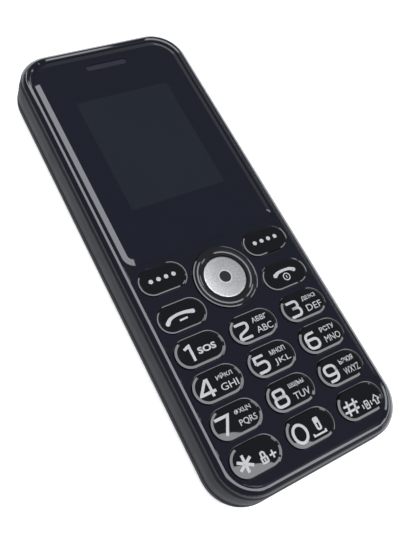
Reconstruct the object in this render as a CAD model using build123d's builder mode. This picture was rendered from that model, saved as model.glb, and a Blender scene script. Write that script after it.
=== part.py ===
import os
from math import atan2, degrees

from build123d import *

os.makedirs("parts", exist_ok=True)

# A bar-shaped key phone lying on its back, in millimetres.
# X runs to the right of the face, Y towards the earpiece end, Z out of the face.
# The origin is the middle of the back, at the lowest point.

# Outer form
body_width = 50.9
body_height = 13.15
body_corner = 9.9
side_lean = 0.55
lean_rise = 2.65
lean_blend = 5.0
edge_reach = 0.01
bezel_across = 1.74
bezel_fall = 1.09
bezel_radius = 1.8
crest_radius = 1.3
seam_rise = 10.9
seam_chamfer = 0.12
rim_crest = 0.76
rim_slope = 0.35
rim_slope_depth = 0.25
face_depth = 0.35
face_corner = 7.6
face_wall = 1.3
opening_slope = 0.18
opening_slope_depth = 0.055
wall = 1.85

# Battery cover
cover_rim = 5.0
cover_wall = 1.2
cover_edge_radius = 3.9
cover_gap = 0.2
cover_edge_slope = 0.3
band_inset = 0.2
cover_fit = 0.15
thumb_notch_width = 12.0
thumb_notch_depth = 0.8

# Display lens and its seat
lens_rise = 5.38
lens_margin = 0.68
lens_fit = 0.06
lens_seat_wall = 0.6
lens_top_over_face = 0.32
lens_edge_below_face = 0.08
lens_side_bevel = 1.28
lens_end_bevel = 1.6
lens_low_corner = 3.1
lens_low_corner_top = 1.5
adhesive_thickness = 0.15
adhesive_inset = 0.5

# Display
screen_width = 27.4
screen_length = 34.5
screen_chin = 14.0
screen_drop = 18.95
window_margin = 0.9
panel_side_border = 3.0
panel_top_border = 2.4
panel_ledge = 6.6
panel_thickness = 0.9
panel_gap = 0.2
glass_setback = 0.45
tray_wall = 0.6
tray_fit = 0.05
flex_width = 12.0
flex_thickness = 0.2
flex_tail = 2.0
flex_overlap = 3.0
tray_sheet = 0.2

# Earpiece
earpiece_drop = 8.6
earpiece_width = 12.4
earpiece_height = 1.85
earpiece_recess = 0.25
receiver_width = 11.0
receiver_length = 6.6
receiver_corner = 1.5
receiver_gasket = 0.3
mesh_rest = 0.5

# Keys
key_width = 7.0
key_pitch_y = 8.73
key_gap_x = 2.47
key_side_margin = 1.105
key_low_margin = 9.04
function_width = 6.82
function_side_margin = 1.15
function_nav_gap = 0.73
call_rise = 9.02
soft_rise = 10.12
key_fit = 0.13
key_flange_lip = 0.5
key_flange = 0.5
key_flange_gap = 0.1
key_crown_over_face = 0.75
key_crown_across = 31.0
key_crown_along = 80.0
key_slope = 0.55
key_slope_depth = 0.15
function_crown_over_face = 0.45
function_crown_across = 60.0
function_slope = 0.28
function_slope_depth = 0.09

# Navigation ring and centre key
nav_rise = 5.03
nav_outer_radius = 8.12
nav_crest_radius = 6.8
nav_inner_radius = 5.62
nav_fit = 0.15
nav_flange_lip = 0.75
nav_flange = 0.4
nav_flange_gap = 0.4
nav_bead_reach = 0.45
nav_crest_over_face = 0.62
nav_land_over_face = 0.46
nav_land_fall = 0.03
nav_edge_slope = 0.27
nav_edge_slope_depth = 0.08
nav_crest_blend = 0.35
nav_pad_thickness = 0.3
nav_pad_gap = 0.25
nav_pad_outer = 7.8
nav_pad_inner = 6.35
nav_plunger_radius = 0.8
nav_plunger_circle = 7.0
nav_plunger_gap = 0.28
ok_radius = 5.46
ok_over_face = 0.25
ok_edge_radius = 0.25
ok_flange_radius = 6.1
ok_flange = 0.3
ok_flange_gap = 0.3

# Mat, domes and board
board_thickness = 0.9
board_low = 8.2
board_fit = 0.3
dome_film = 0.1
dome_rise = 0.22
dome_taper = 60
dome_radius = 2.0
nav_dome_radius = 1.0
plunger_gap = 0.03
mat_web = 0.3
mat_web_over_board = 0.65
mat_pad_gap = 0.35
mat_plunger_radius = 1.0
mat_pad_shrink = 1.0
mat_margin = 1.0
mat_floor = 0.2
mat_top_margin = 0.9
mat_pocket_overlap = 0.3
led_width = 1.6
led_length = 0.8
led_height = 0.4
led_clearance = 0.2

# Rear housing
deck_floor = 1.1
board_ledge = 0.6
tongue = 0.5
tongue_depth = 0.8
tongue_fit = 0.05
tongue_notch_fit = 0.3

# Battery and its bay
battery_width = 34.0
battery_length = 53.0
battery_thickness = 5.4
battery_edge_radius = 1.6
battery_rise = 51.9
battery_fit = 0.2
battery_lift = 0.1
contact_count = 3
contact_pitch = 2.6
contact_width = 1.2
contact_thickness = 0.25
contact_reach = 1.6
contact_root = 0.6
contact_seat = 0.6
contact_touch = 0.05
contact_knee = 1.8
contact_foot = 0.6
connector_width = 9.0
connector_length = 3.0
connector_drop = 4.6
connector_fit = 0.2
battery_bay_wall = 1.1

# Screws
screw_side = 4.05
screw_top_side = 5.75
screw_top_drop = 6.9
screw_shank_radius = 0.7
screw_head_radius = 1.4
screw_head = 0.9
screw_ledge = 6.2
screw_bite = 2.6
screw_well_fit = 0.35
screw_thread_fit = 0.02
screw_bite_gap = 0.2
screw_cross_length = 1.6
screw_cross_width = 0.35
screw_cross_depth = 0.5
post_low = 3.9
post_radius = 2.6
boss_radius = 1.35
boss_fit = 0.2

# Top end: headphone jack, torch and charging port
jack_side = 13.75
jack_bore_radius = 1.8
jack_bore_depth = 12.4
jack_width = 6.2
jack_height = 4.5
jack_end_wall = 0.6
jack_wall_fit = 0.05
port_fit = 0.1
port_recess = 0.55
port_z = 8.93
usb_side = 14.45
usb_width = 7.5
usb_height = 2.6
usb_depth = 5.6
usb_shell = 0.3
usb_tongue = 0.5
usb_tongue_width = 6.3
usb_corner = 0.5
usb_tongue_setback = 0.8
usb_tongue_rise = 0.3
torch_z = 9.3
torch_radius = 1.25
torch_setback = 0.5
torch_led_width = 3.0
torch_led_length = 1.4
torch_led_height = 1.4

# Rear fittings
camera_drop = 12.4
camera_size = 8.5
camera_barrel_radius = 2.9
camera_barrel = 1.6
camera_setback = 0.3
camera_window_radius = 3.9
camera_window_thickness = 0.8
camera_window_recess = 0.1
camera_window_seat = 0.6
camera_window_fit = 0.05
camera_fit = 0.2
speaker_drop = 29.4
speaker_width = 18.0
speaker_length = 13.0
speaker_thickness = 3.4
speaker_slot_count = 5
speaker_slot_pitch = 2.2
speaker_slot_width = 1.0
speaker_slot_length = 12.0
speaker_corner = 3.0
speaker_cone_radius = 5.2
speaker_cone_depth = 0.6
motor_side = 8.45
motor_drop = 36.4
motor_z = 5.3
motor_radius = 2.0
motor_length = 8.0
motor_shaft_radius = 0.4
motor_shaft_fit = 0.05
motor_shaft_reach = 3.6
weight_radius = 2.3
weight_bore_radius = 0.9
weight_thickness = 2.8
weight_gap = 0.4
cradle_wall = 0.8
mic_rise = 6.0
mic_radius = 2.0
mic_height = 1.4
mic_hole_radius = 0.5
mic_hole_z = 7.6
can_thickness = 0.2
can_height = 1.5
can_high_width = 9.6
can_high_gap = 2.7
can_high_side = 10.0
can_high_drop = 22.4
can_low_width = 18.0
can_low_length = 7.0
can_low_gap = 1.8
antenna_width = 36.0
antenna_length = 9.0
antenna_rise = 11.9
antenna_sheet = 0.2
antenna_leg = 1.6
antenna_leg_x = 12.0
antenna_slot_width = 0.8
antenna_slot_count = 4

# Card sockets under the battery
sim_width = 15.2
sim_length = 16.5
sim_x = 8.6
sim_rise = 5.0
memory_width = 13.0
memory_length = 13.5
memory_drop = 16.0
socket_clearance = 0.2
socket_shell = 0.15
socket_rail = 0.3
card_slot_height = 0.8
sim_window_border = 4.0

# Levels worked out from the sizes above
face_level = body_height - face_depth
face_under = face_level - face_wall
seam_level = seam_rise
seat_level = face_under + lens_seat_wall
board_high = board_low + board_thickness
dome_high = board_high + dome_film + dome_rise
plunger_low = dome_high + plunger_gap
key_flange_high = face_under - key_flange_gap
key_flange_low = key_flange_high - key_flange
pad_high = key_flange_low - mat_pad_gap
web_low = board_high + mat_web_over_board
web_high = web_low + mat_web
nav_flange_high = face_under - nav_flange_gap
nav_flange_low = nav_flange_high - nav_flange
nav_pad_high = nav_flange_low - nav_pad_gap
nav_pad_low = nav_pad_high - nav_pad_thickness
ok_flange_high = nav_flange_low - ok_flange_gap
ok_flange_low = ok_flange_high - ok_flange
band_low = cover_rim + cover_gap
deck_low = cover_wall + cover_fit
tray_low = cover_wall + battery_lift + battery_thickness + battery_lift
tray_high = board_low - board_ledge
chamber_low = deck_low + deck_floor
panel_high = face_under - panel_gap
panel_low = panel_high - panel_thickness

# Outlines worked out from the sizes above
side_x = body_width / 2
body_length = (key_low_margin + 3 * key_pitch_y + call_rise + soft_rise + lens_rise
               + screen_chin + screen_length + screen_drop)
end_face_y = body_length / 2
seam_inset = side_lean
rim_inset = seam_inset + bezel_across
face_inset = rim_inset + rim_crest
inner_inset = seam_inset + wall
deck_inset = cover_wall + cover_fit
board_inset = inner_inset + board_fit
lens_half_width = side_x - face_inset - lens_margin
lens_top = end_face_y - face_inset - lens_margin
lens_top_corner = face_corner - lens_margin

# Places worked out from the ends and sides that they keep to
key_length = (2 * (side_x - face_inset - key_side_margin) - 2 * key_gap_x) / 3
key_pitch_x = key_length + key_gap_x
key_row_top_y = key_low_margin + 3 * key_pitch_y - end_face_y
function_room = side_x - face_inset - function_side_margin
function_length = function_room - function_nav_gap - nav_outer_radius
function_x = function_room - function_length / 2
call_y = key_row_top_y + call_rise
soft_y = call_y + soft_rise
nav_y = call_y + nav_rise
lens_bottom = soft_y + lens_rise
screen_y = end_face_y - screen_drop - screen_length / 2
earpiece_y = end_face_y - earpiece_drop
camera_x = 0.0
camera_y = end_face_y - camera_drop
speaker_x = 0.0
speaker_y = end_face_y - speaker_drop
motor_x = side_x - motor_side
motor_y = end_face_y - motor_drop
jack_x = jack_side - side_x
usb_x = side_x - usb_side
mic_y = mic_rise - end_face_y
antenna_y = antenna_rise - end_face_y
battery_y = battery_rise - end_face_y
sim_y = battery_y + sim_rise
memory_y = battery_y - memory_drop
bay_width = battery_width + 2 * battery_fit
bay_length = battery_length + 2 * battery_fit
bay_top_y = battery_y + bay_length / 2
bay_low_y = battery_y - bay_length / 2 - battery_bay_wall
panel_width = screen_width + 2 * panel_side_border
panel_length = screen_length + panel_top_border + panel_ledge
panel_y = screen_y + (panel_top_border - panel_ledge) / 2
inner_end_y = end_face_y - inner_inset
port_face_y = end_face_y - port_recess

key_names = ("key_1", "key_2", "key_3", "key_4", "key_5", "key_6",
             "key_7", "key_8", "key_9", "key_star", "key_0", "key_hash")
number_keys = {
    name: ((index % 3 - 1) * key_pitch_x, key_row_top_y - (index // 3) * key_pitch_y)
    for index, name in enumerate(key_names)
}
function_keys = {
    "soft_key_left": (-function_x, soft_y),
    "soft_key_right": (function_x, soft_y),
    "call_key": (-function_x, call_y),
    "end_key": (function_x, call_y),
}
low_screw_y = key_row_top_y - 2.5 * key_pitch_y
mid_screw_y = (soft_y + call_y) / 2
top_screw_y = end_face_y - screw_top_drop
screw_places = [
    (side * (side_x - inward), y)
    for inward, y in ((screw_side, low_screw_y), (screw_side, mid_screw_y),
                      (screw_top_side, top_screw_y))
    for side in (-1, 1)
]
nav_dome_places = [(0, 0)] + [(nav_plunger_circle * dx, nav_plunger_circle * dy)
                              for dx, dy in ((1, 0), (0, 1), (-1, 0), (0, -1))]
led_places = [(side * key_pitch_x / 2, key_row_top_y - (row - 0.5) * key_pitch_y)
              for row in (0, 2, 4) for side in (-1, 1)]


def outline(inset):
    """The phone's outline, drawn in by the same amount all round."""
    RectangleRounded(body_width - 2 * inset, body_length - 2 * inset, body_corner - inset)


def save(piece, name):
    """Name a finished piece and write it out."""
    piece.label = name
    export_step(piece, f"parts/{name}.step")


def lens_outline(side_inset, end_inset, low_corner, high_corner):
    """The lens's outline drawn in from its sides and ends, with its own corner radii."""
    with Locations((0, (lens_bottom + lens_top) / 2)):
        Rectangle(2 * (lens_half_width - side_inset), lens_top - lens_bottom - 2 * end_inset)
    fillet(vertices().group_by(Axis.Y)[0], low_corner)
    fillet(vertices().group_by(Axis.Y)[-1], high_corner)


# Front housing: the moulded face with its rounded bezel, raised rim, lens seat,
# pierced keypad, screw bosses and the tongue that enters the rear housing
with BuildPart() as front_housing:
    with BuildSketch(Plane.XY.offset(seam_level)):
        outline(seam_inset)
    extrude(amount=body_height - seam_level)
    top = front_housing.faces().sort_by(Axis.Z)[-1]
    chamfer(top.edges(), bezel_across, bezel_fall, reference=top)
    fillet(front_housing.edges().group_by(Axis.Z)[-3], bezel_radius)
    fillet(front_housing.faces().sort_by(Axis.Z)[-1].edges(), crest_radius)
    chamfer(front_housing.faces().sort_by(Axis.Z)[0].edges(), seam_chamfer)
    with BuildSketch(Plane.XY.offset(face_level)):
        RectangleRounded(2 * (side_x - face_inset), 2 * (end_face_y - face_inset), face_corner)
    extrude(amount=face_depth, mode=Mode.SUBTRACT)
    crest = front_housing.faces().sort_by(Axis.Z)[-1]
    chamfer(crest.inner_wires()[0].edges(), rim_slope, rim_slope_depth, reference=crest)
    with BuildSketch(Plane.XY.offset(seam_level)):
        outline(inner_inset)
    extrude(amount=face_under - seam_level, mode=Mode.SUBTRACT)
    with BuildSketch(Plane.XY.offset(seam_level - tongue_depth)):
        outline(inner_inset + tongue_fit)
        offset(amount=-tongue, mode=Mode.SUBTRACT)
    extrude(amount=face_under - seam_level + tongue_depth)
    with BuildSketch(Plane.XY.offset(face_under)):
        for x, width in ((jack_x, jack_width), (usb_x, usb_width), (0, torch_led_width)):
            with Locations((x, inner_end_y - tongue)):
                Rectangle(width + 2 * tongue_notch_fit, 2 * tongue)
    extrude(amount=seam_level - tongue_depth - face_under, mode=Mode.SUBTRACT)
    with BuildSketch(Plane.XY.offset(face_under)):
        with Locations(*number_keys.values()):
            SlotOverall(key_length + 2 * key_fit, key_width + 2 * key_fit)
        with Locations(*function_keys.values()):
            SlotOverall(function_length + 2 * key_fit, function_width + 2 * key_fit)
        with Locations((0, nav_y)):
            Circle(nav_outer_radius + nav_fit)
    extrude(amount=face_wall, mode=Mode.SUBTRACT)
    face = front_housing.faces().filter_by(Axis.Z).group_by(Axis.Z)[-2][0]
    opening_edges = [wire.edges() for wire in face.inner_wires()]
    chamfer(opening_edges, opening_slope, opening_slope_depth, reference=face)
    with BuildSketch(Plane.XY.offset(seat_level)):
        lens_outline(-lens_fit, -lens_fit, lens_low_corner + lens_fit, lens_top_corner + lens_fit)
    extrude(amount=face_level - seat_level, mode=Mode.SUBTRACT)
    with BuildSketch(Plane.XY.offset(face_under)):
        with Locations((0, screen_y)):
            Rectangle(screen_width + 2 * window_margin, screen_length + 2 * window_margin)
        with Locations((0, earpiece_y)):
            SlotOverall(earpiece_width - 2 * mesh_rest, earpiece_height - mesh_rest)
    extrude(amount=seat_level - face_under, mode=Mode.SUBTRACT)
    with BuildSketch(Plane.XY.offset(board_low)):
        with Locations(*screw_places):
            Circle(boss_radius)
    extrude(amount=face_under - board_low)
    with BuildSketch(Plane.XY.offset(board_low)):
        with Locations(*screw_places):
            Circle(screw_shank_radius + screw_thread_fit)
    extrude(amount=screw_bite, mode=Mode.SUBTRACT)
save(front_housing.part, "front_housing")

# Display lens: a bevelled plate that drops into the seat, pierced for the earpiece
lens_low = seat_level + adhesive_thickness
lens_edge = face_level - lens_edge_below_face
lens_high = face_level + lens_top_over_face
with BuildPart() as display_lens:
    with BuildSketch(Plane.XY.offset(lens_low)):
        lens_outline(0, 0, lens_low_corner, lens_top_corner)
    extrude(amount=lens_edge - lens_low)
    with BuildSketch(Plane.XY.offset(lens_edge)):
        lens_outline(0, 0, lens_low_corner, lens_top_corner)
    with BuildSketch(Plane.XY.offset(lens_high)):
        lens_outline(lens_side_bevel, lens_end_bevel,
                     lens_low_corner_top, lens_top_corner - lens_end_bevel)
    loft(ruled=True)
    with BuildSketch(Plane.XY.offset(lens_low)):
        with Locations((0, earpiece_y)):
            SlotOverall(earpiece_width, earpiece_height)
    extrude(amount=lens_high - lens_low, mode=Mode.SUBTRACT)
save(display_lens.part, "display_lens")

# Adhesive frame between the lens and its seat
with BuildPart() as lens_adhesive:
    with BuildSketch(Plane.XY.offset(seat_level)):
        lens_outline(adhesive_inset, adhesive_inset,
                     lens_low_corner - adhesive_inset, lens_top_corner - adhesive_inset)
        with Locations((0, screen_y)):
            Rectangle(screen_width + 2 * window_margin, screen_length + 2 * window_margin,
                      mode=Mode.SUBTRACT)
        with Locations((0, earpiece_y)):
            SlotOverall(earpiece_width + 2 * adhesive_inset, earpiece_height + 2 * adhesive_inset,
                        mode=Mode.SUBTRACT)
    extrude(amount=adhesive_thickness)
save(lens_adhesive.part, "lens_adhesive")

# Earpiece: the mesh in the lens slot and the receiver behind the housing
with BuildPart() as earpiece_mesh:
    with BuildSketch(Plane.XY.offset(seat_level)):
        with Locations((0, earpiece_y)):
            SlotOverall(earpiece_width - 2 * lens_fit, earpiece_height - 2 * lens_fit)
    extrude(amount=lens_high - earpiece_recess - seat_level)
save(earpiece_mesh.part, "earpiece_mesh")

with BuildPart() as receiver:
    with BuildSketch(Plane.XY.offset(board_high)):
        with Locations((0, earpiece_y)):
            RectangleRounded(receiver_width, receiver_length, receiver_corner)
    extrude(amount=face_under - receiver_gasket - board_high)
    with BuildSketch(Plane.XY.offset(face_under - receiver_gasket)):
        with Locations((0, earpiece_y)):
            SlotOverall(earpiece_width - 2 * mesh_rest, earpiece_height - mesh_rest)
    extrude(amount=-receiver_gasket, mode=Mode.SUBTRACT)
save(receiver.part, "earpiece_receiver")

# Display module: glass panel, backlight and the moulded tray that holds both
with BuildPart() as lcd_panel:
    with BuildSketch(Plane.XY.offset(panel_low)):
        with Locations((0, panel_y)):
            Rectangle(panel_width, panel_length)
    extrude(amount=panel_thickness / 2)
    with BuildSketch(Plane.XY.offset(panel_low + panel_thickness / 2)):
        with Locations((0, screen_y)):
            Rectangle(panel_width - 2 * glass_setback, screen_length + 2 * panel_top_border)
    extrude(amount=panel_thickness / 2)
save(lcd_panel.part, "lcd_panel")

tray_base = board_high + tray_sheet
with BuildPart() as lcd_backlight:
    with BuildSketch(Plane.XY.offset(tray_base)):
        with Locations((0, panel_y)):
            Rectangle(panel_width, panel_length)
    extrude(amount=panel_low - tray_base)
save(lcd_backlight.part, "lcd_backlight")

with BuildPart() as lcd_tray:
    with BuildSketch(Plane.XY.offset(board_high)):
        with Locations((0, panel_y)):
            RectangleRounded(panel_width + 2 * (tray_fit + tray_wall),
                             panel_length + 2 * (tray_fit + tray_wall), tray_wall)
    extrude(amount=panel_high - board_high - panel_thickness / 2)
    with BuildSketch(Plane.XY.offset(tray_base)):
        with Locations((0, panel_y)):
            Rectangle(panel_width + 2 * tray_fit, panel_length + 2 * tray_fit)
    extrude(amount=panel_high - tray_base, mode=Mode.SUBTRACT)
    with BuildSketch(Plane.XY.offset(tray_base)):
        with Locations((0, panel_y - panel_length / 2 - tray_fit - tray_wall / 2)):
            Rectangle(flex_width + 2 * tray_fit, 2 * tray_wall)
    extrude(amount=panel_high - tray_base, mode=Mode.SUBTRACT)
save(lcd_tray.part, "lcd_tray")

# Flexible circuit from the panel's lower ledge, over the tray's end and down to the board
flex_end_y = panel_y - panel_length / 2
flex_high = panel_low + panel_thickness / 2 + flex_thickness
flex_drop_y = flex_end_y - tray_fit - tray_wall - flex_thickness - tray_fit
with BuildPart() as lcd_flex:
    with BuildSketch(Plane.YZ.offset(-flex_width / 2)):
        with BuildLine():
            Polyline(
                (flex_end_y + flex_overlap, flex_high - flex_thickness),
                (flex_end_y + flex_overlap, flex_high),
                (flex_drop_y, flex_high),
                (flex_drop_y, board_high + flex_thickness),
                (flex_drop_y - flex_tail, board_high + flex_thickness),
                (flex_drop_y - flex_tail, board_high),
                (flex_drop_y + flex_thickness, board_high),
                (flex_drop_y + flex_thickness, flex_high - flex_thickness),
                close=True)
        make_face()
    extrude(amount=flex_width)
save(lcd_flex.part, "lcd_flex")


def key_cap(x, y, length, width, over_face, across, slope, slope_depth):
    """A domed pill-shaped key with a sloped edge, and a flange that keeps it under the face."""
    crown = face_level + over_face
    with BuildPart() as cap:
        with BuildSketch(Plane.XY.offset(key_flange_low)):
            with Locations((x, y)):
                SlotOverall(length + 2 * key_flange_lip, width + 2 * key_flange_lip)
        extrude(amount=key_flange)
        with BuildSketch(Plane.XY.offset(key_flange_low)):
            with Locations((x, y)):
                SlotOverall(length, width)
        extrude(amount=crown - key_flange_low)
        axle = crown - key_crown_along
        rim = key_crown_along - across + (across ** 2 - width ** 2) ** 0.5
        with BuildSketch(Plane.YZ.offset(x)):
            with BuildLine():
                Polyline((y + width, axle + rim), (y + width, axle), (y - width, axle),
                         (y - width, axle + rim))
                ThreePointArc((y - width, axle + rim), (y, crown), (y + width, axle + rim))
            make_face()
        revolve(axis=Axis((x, y, axle), (0, 1, 0)), mode=Mode.INTERSECT)
        dome = cap.faces().sort_by(Axis.Z)[-1]
        chamfer(dome.edges(), slope, slope_depth, reference=dome)
    return cap.part


for name, (x, y) in number_keys.items():
    save(key_cap(x, y, key_length, key_width, key_crown_over_face, key_crown_across,
                 key_slope, key_slope_depth), name)

for name, (x, y) in function_keys.items():
    save(key_cap(x, y, function_length, function_width, function_crown_over_face,
                 function_crown_across, function_slope, function_slope_depth), name)

# Navigation ring: nearly flat lands on both sides of a raised bead, and a sloped outer edge
nav_land = face_level + nav_land_over_face
nav_edge = nav_land - nav_land_fall
with BuildPart() as nav_ring:
    with BuildSketch(Plane.XZ.offset(-nav_y)):
        with BuildLine():
            Polyline(
                (nav_inner_radius, nav_flange_low),
                (nav_inner_radius, nav_edge),
                (nav_crest_radius - nav_bead_reach, nav_land),
                (nav_crest_radius, face_level + nav_crest_over_face),
                (nav_crest_radius + nav_bead_reach, nav_land),
                (nav_outer_radius - nav_edge_slope, nav_edge),
                (nav_outer_radius, nav_edge - nav_edge_slope_depth),
                (nav_outer_radius, nav_flange_high),
                (nav_outer_radius + nav_flange_lip, nav_flange_high),
                (nav_outer_radius + nav_flange_lip, nav_flange_low),
                close=True)
        make_face()
    revolve(axis=Axis((0, nav_y, 0), (0, 0, 1)))
    fillet(nav_ring.edges().filter_by(GeomType.CIRCLE).sort_by(Axis.Z)[-1], nav_crest_blend)
save(nav_ring.part, "nav_ring")

# Actuator pad under the ring, with one plunger for each direction
with BuildPart() as nav_pad:
    with BuildSketch(Plane.XY.offset(nav_pad_low)):
        with Locations((0, nav_y)):
            Circle(nav_pad_outer)
            Circle(nav_pad_inner, mode=Mode.SUBTRACT)
    extrude(amount=nav_pad_thickness)
    with BuildSketch(Plane.XY.offset(nav_pad_low)):
        with Locations(*[(x, nav_y + y) for x, y in nav_dome_places[1:]]):
            Circle(nav_plunger_radius)
    extrude(amount=plunger_low + nav_plunger_gap - nav_pad_low)
save(nav_pad.part, "nav_pad")

# Centre key: a turned disc with a flange under the ring
with BuildPart() as ok_key:
    with BuildSketch(Plane.XY.offset(ok_flange_low)):
        with Locations((0, nav_y)):
            Circle(ok_flange_radius)
    extrude(amount=ok_flange)
    with BuildSketch(Plane.XY.offset(ok_flange_low)):
        with Locations((0, nav_y)):
            Circle(ok_radius)
    extrude(amount=face_level + ok_over_face - ok_flange_low)
    fillet(ok_key.faces().sort_by(Axis.Z)[-1].edges(), ok_edge_radius)
save(ok_key.part, "ok_key")


def keypad_area(inset):
    """The keypad end of the outline, up to just above the top row of keys."""
    outline(inset)
    with Locations((0, mat_top_y - body_length / 2)):
        Rectangle(body_width, body_length, mode=Mode.INTERSECT)


# Rubber mat: web, pads under the keys, plungers over the domes and a sunk floor
# with passages for the ring's plungers
mat_top_y = soft_y + function_width / 2 + key_flange_lip + mat_top_margin
nav_pocket = nav_outer_radius + nav_flange_lip - mat_pocket_overlap
key_places = list(number_keys.values()) + list(function_keys.values())
with BuildPart() as keypad_mat:
    with BuildSketch(Plane.XY.offset(web_low)):
        keypad_area(inner_inset + mat_margin)
        with Locations(*screw_places):
            Circle(boss_radius + boss_fit, mode=Mode.SUBTRACT)
    extrude(amount=mat_web)
    with BuildSketch(Plane.XY.offset(web_high)):
        with Locations(*number_keys.values()):
            SlotOverall(key_length - mat_pad_shrink, key_width - mat_pad_shrink)
        with Locations(*function_keys.values()):
            SlotOverall(function_length - mat_pad_shrink, function_width - mat_pad_shrink)
    extrude(amount=pad_high - web_high)
    with BuildSketch(Plane.XY.offset(plunger_low)):
        with Locations(*key_places):
            Circle(mat_plunger_radius)
        with Locations((0, nav_y)):
            Circle(nav_pocket + mat_web)
    extrude(amount=web_low - plunger_low)
    with BuildSketch(Plane.XY.offset(plunger_low + mat_floor)):
        with Locations((0, nav_y)):
            Circle(nav_pocket)
    extrude(amount=web_high - plunger_low, mode=Mode.SUBTRACT)
    with BuildSketch(Plane.XY.offset(plunger_low)):
        with Locations(*[(x, nav_y + y) for x, y in nav_dome_places[1:]]):
            Circle(nav_plunger_radius + board_fit)
    extrude(amount=mat_floor, mode=Mode.SUBTRACT)
save(keypad_mat.part, "keypad_mat")

# Dome sheet: one snap dome under every key, with cut-outs for the lamps
with BuildPart() as dome_sheet:
    with BuildSketch(Plane.XY.offset(board_high)):
        keypad_area(inner_inset + mat_margin)
        with Locations(*screw_places):
            Circle(boss_radius + boss_fit, mode=Mode.SUBTRACT)
        with Locations(*led_places):
            Rectangle(led_width + 2 * led_clearance, led_length + 2 * led_clearance,
                      mode=Mode.SUBTRACT)
    extrude(amount=dome_film)
    with BuildSketch(Plane.XY.offset(board_high + dome_film)):
        with Locations(*key_places, (0, nav_y)):
            Circle(dome_radius)
        with Locations(*[(x, nav_y + y) for x, y in nav_dome_places[1:]]):
            Circle(nav_dome_radius)
    extrude(amount=dome_rise, taper=dome_taper)
save(dome_sheet.part, "dome_sheet")

# Keypad lamps, one group of small blocks on the board
with BuildPart() as keypad_leds:
    with BuildSketch(Plane.XY.offset(board_high)):
        with Locations(*led_places):
            Rectangle(led_width, led_length)
    extrude(amount=led_height)
save(keypad_leds.part, "keypad_leds")

# Main board with notches for the bosses, the jack and the charging port
jack_back_y = inner_end_y - jack_bore_depth - jack_end_wall
usb_back_y = port_face_y - usb_depth
with BuildPart() as main_board:
    with BuildSketch(Plane.XY.offset(board_low)):
        outline(board_inset)
        with Locations(*screw_places):
            Circle(boss_radius + boss_fit, mode=Mode.SUBTRACT)
        with Locations((jack_x, (jack_back_y - port_fit + end_face_y) / 2)):
            Rectangle(jack_width + 2 * port_fit, end_face_y - jack_back_y + port_fit,
                      mode=Mode.SUBTRACT)
        with Locations((usb_x, (usb_back_y - port_fit + end_face_y) / 2)):
            Rectangle(usb_width + 2 * port_fit, end_face_y - usb_back_y + port_fit,
                      mode=Mode.SUBTRACT)
    extrude(amount=board_thickness)
save(main_board.part, "main_board")

# Shield cans on the underside of the board, open towards it
can_high_top = end_face_y - can_high_drop
can_high_low = bay_top_y + battery_bay_wall + can_high_gap
cans = (
    (can_high_side - side_x, (can_high_top + can_high_low) / 2, can_high_width,
     can_high_top - can_high_low),
    (0, bay_low_y - can_low_gap - can_low_length / 2, can_low_width, can_low_length),
)
with BuildPart() as shield_cans:
    for x, y, width, length in cans:
        with BuildSketch(Plane.XY.offset(board_low - can_height)):
            with Locations((x, y)):
                Rectangle(width, length)
        extrude(amount=can_height)
        with BuildSketch(Plane.XY.offset(board_low - can_height + can_thickness)):
            with Locations((x, y)):
                Rectangle(width - 2 * can_thickness, length - 2 * can_thickness)
        extrude(amount=can_height - can_thickness, mode=Mode.SUBTRACT)
save(shield_cans.part, "shield_cans")

# Microphone can under the board's lower end
with BuildPart() as microphone:
    with BuildSketch(Plane.XY.offset(board_low)):
        with Locations((0, mic_y)):
            Circle(mic_radius)
    extrude(amount=-mic_height)
save(microphone.part, "microphone")

# Headphone jack: a moulded block sunk in the board, bored for a 3.5 mm plug
with BuildPart() as headphone_jack:
    with BuildSketch(Plane.XZ.offset(-inner_end_y)):
        with Locations((jack_x, port_z)):
            Rectangle(jack_width, jack_height)
    extrude(amount=jack_bore_depth + jack_end_wall)
    with BuildSketch(Plane.XZ.offset(-inner_end_y)):
        with Locations((jack_x, port_z)):
            Circle(jack_bore_radius)
    extrude(amount=jack_bore_depth, mode=Mode.SUBTRACT)
save(headphone_jack.part, "headphone_jack")

# Charging port: a pressed shell with its tongue
with BuildPart() as usb_port:
    with BuildSketch(Plane.XZ.offset(-port_face_y)):
        with Locations((usb_x, port_z)):
            RectangleRounded(usb_width, usb_height, usb_corner)
    extrude(amount=usb_depth)
    with BuildSketch(Plane.XZ.offset(-port_face_y)):
        with Locations((usb_x, port_z)):
            RectangleRounded(usb_width - 2 * usb_shell, usb_height - 2 * usb_shell,
                             usb_corner - usb_shell / 2)
    extrude(amount=usb_depth - usb_shell, mode=Mode.SUBTRACT)
    with BuildSketch(Plane.XZ.offset(-port_face_y + usb_tongue_setback)):
        with Locations((usb_x, port_z + usb_tongue_rise)):
            Rectangle(usb_tongue_width, usb_tongue)
    extrude(amount=usb_depth - usb_tongue_setback)
save(usb_port.part, "usb_port")

# Torch: the lamp on the board and the clear lens in the end wall
with BuildPart() as torch_led:
    with BuildSketch(Plane.XY.offset(board_high)):
        with Locations((0, inner_end_y - torch_setback - torch_led_length / 2)):
            Rectangle(torch_led_width, torch_led_length)
    extrude(amount=torch_led_height)
save(torch_led.part, "torch_led")

with BuildPart() as torch_lens:
    with BuildSketch(Plane.XZ.offset(-port_face_y)):
        with Locations((0, torch_z)):
            Circle(torch_radius)
    extrude(amount=port_face_y - inner_end_y)
save(torch_lens.part, "torch_lens")

# Camera module with its barrel, and the loudspeaker with its cone
with BuildPart() as camera_module:
    with BuildSketch(Plane.XY.offset(board_low)):
        with Locations((camera_x, camera_y)):
            Rectangle(camera_size, camera_size)
    extrude(amount=deck_low + camera_setback + camera_barrel - board_low)
    with BuildSketch(Plane.XY.offset(deck_low + camera_setback)):
        with Locations((camera_x, camera_y)):
            Circle(camera_barrel_radius)
    extrude(amount=camera_barrel)
save(camera_module.part, "camera_module")

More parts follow.
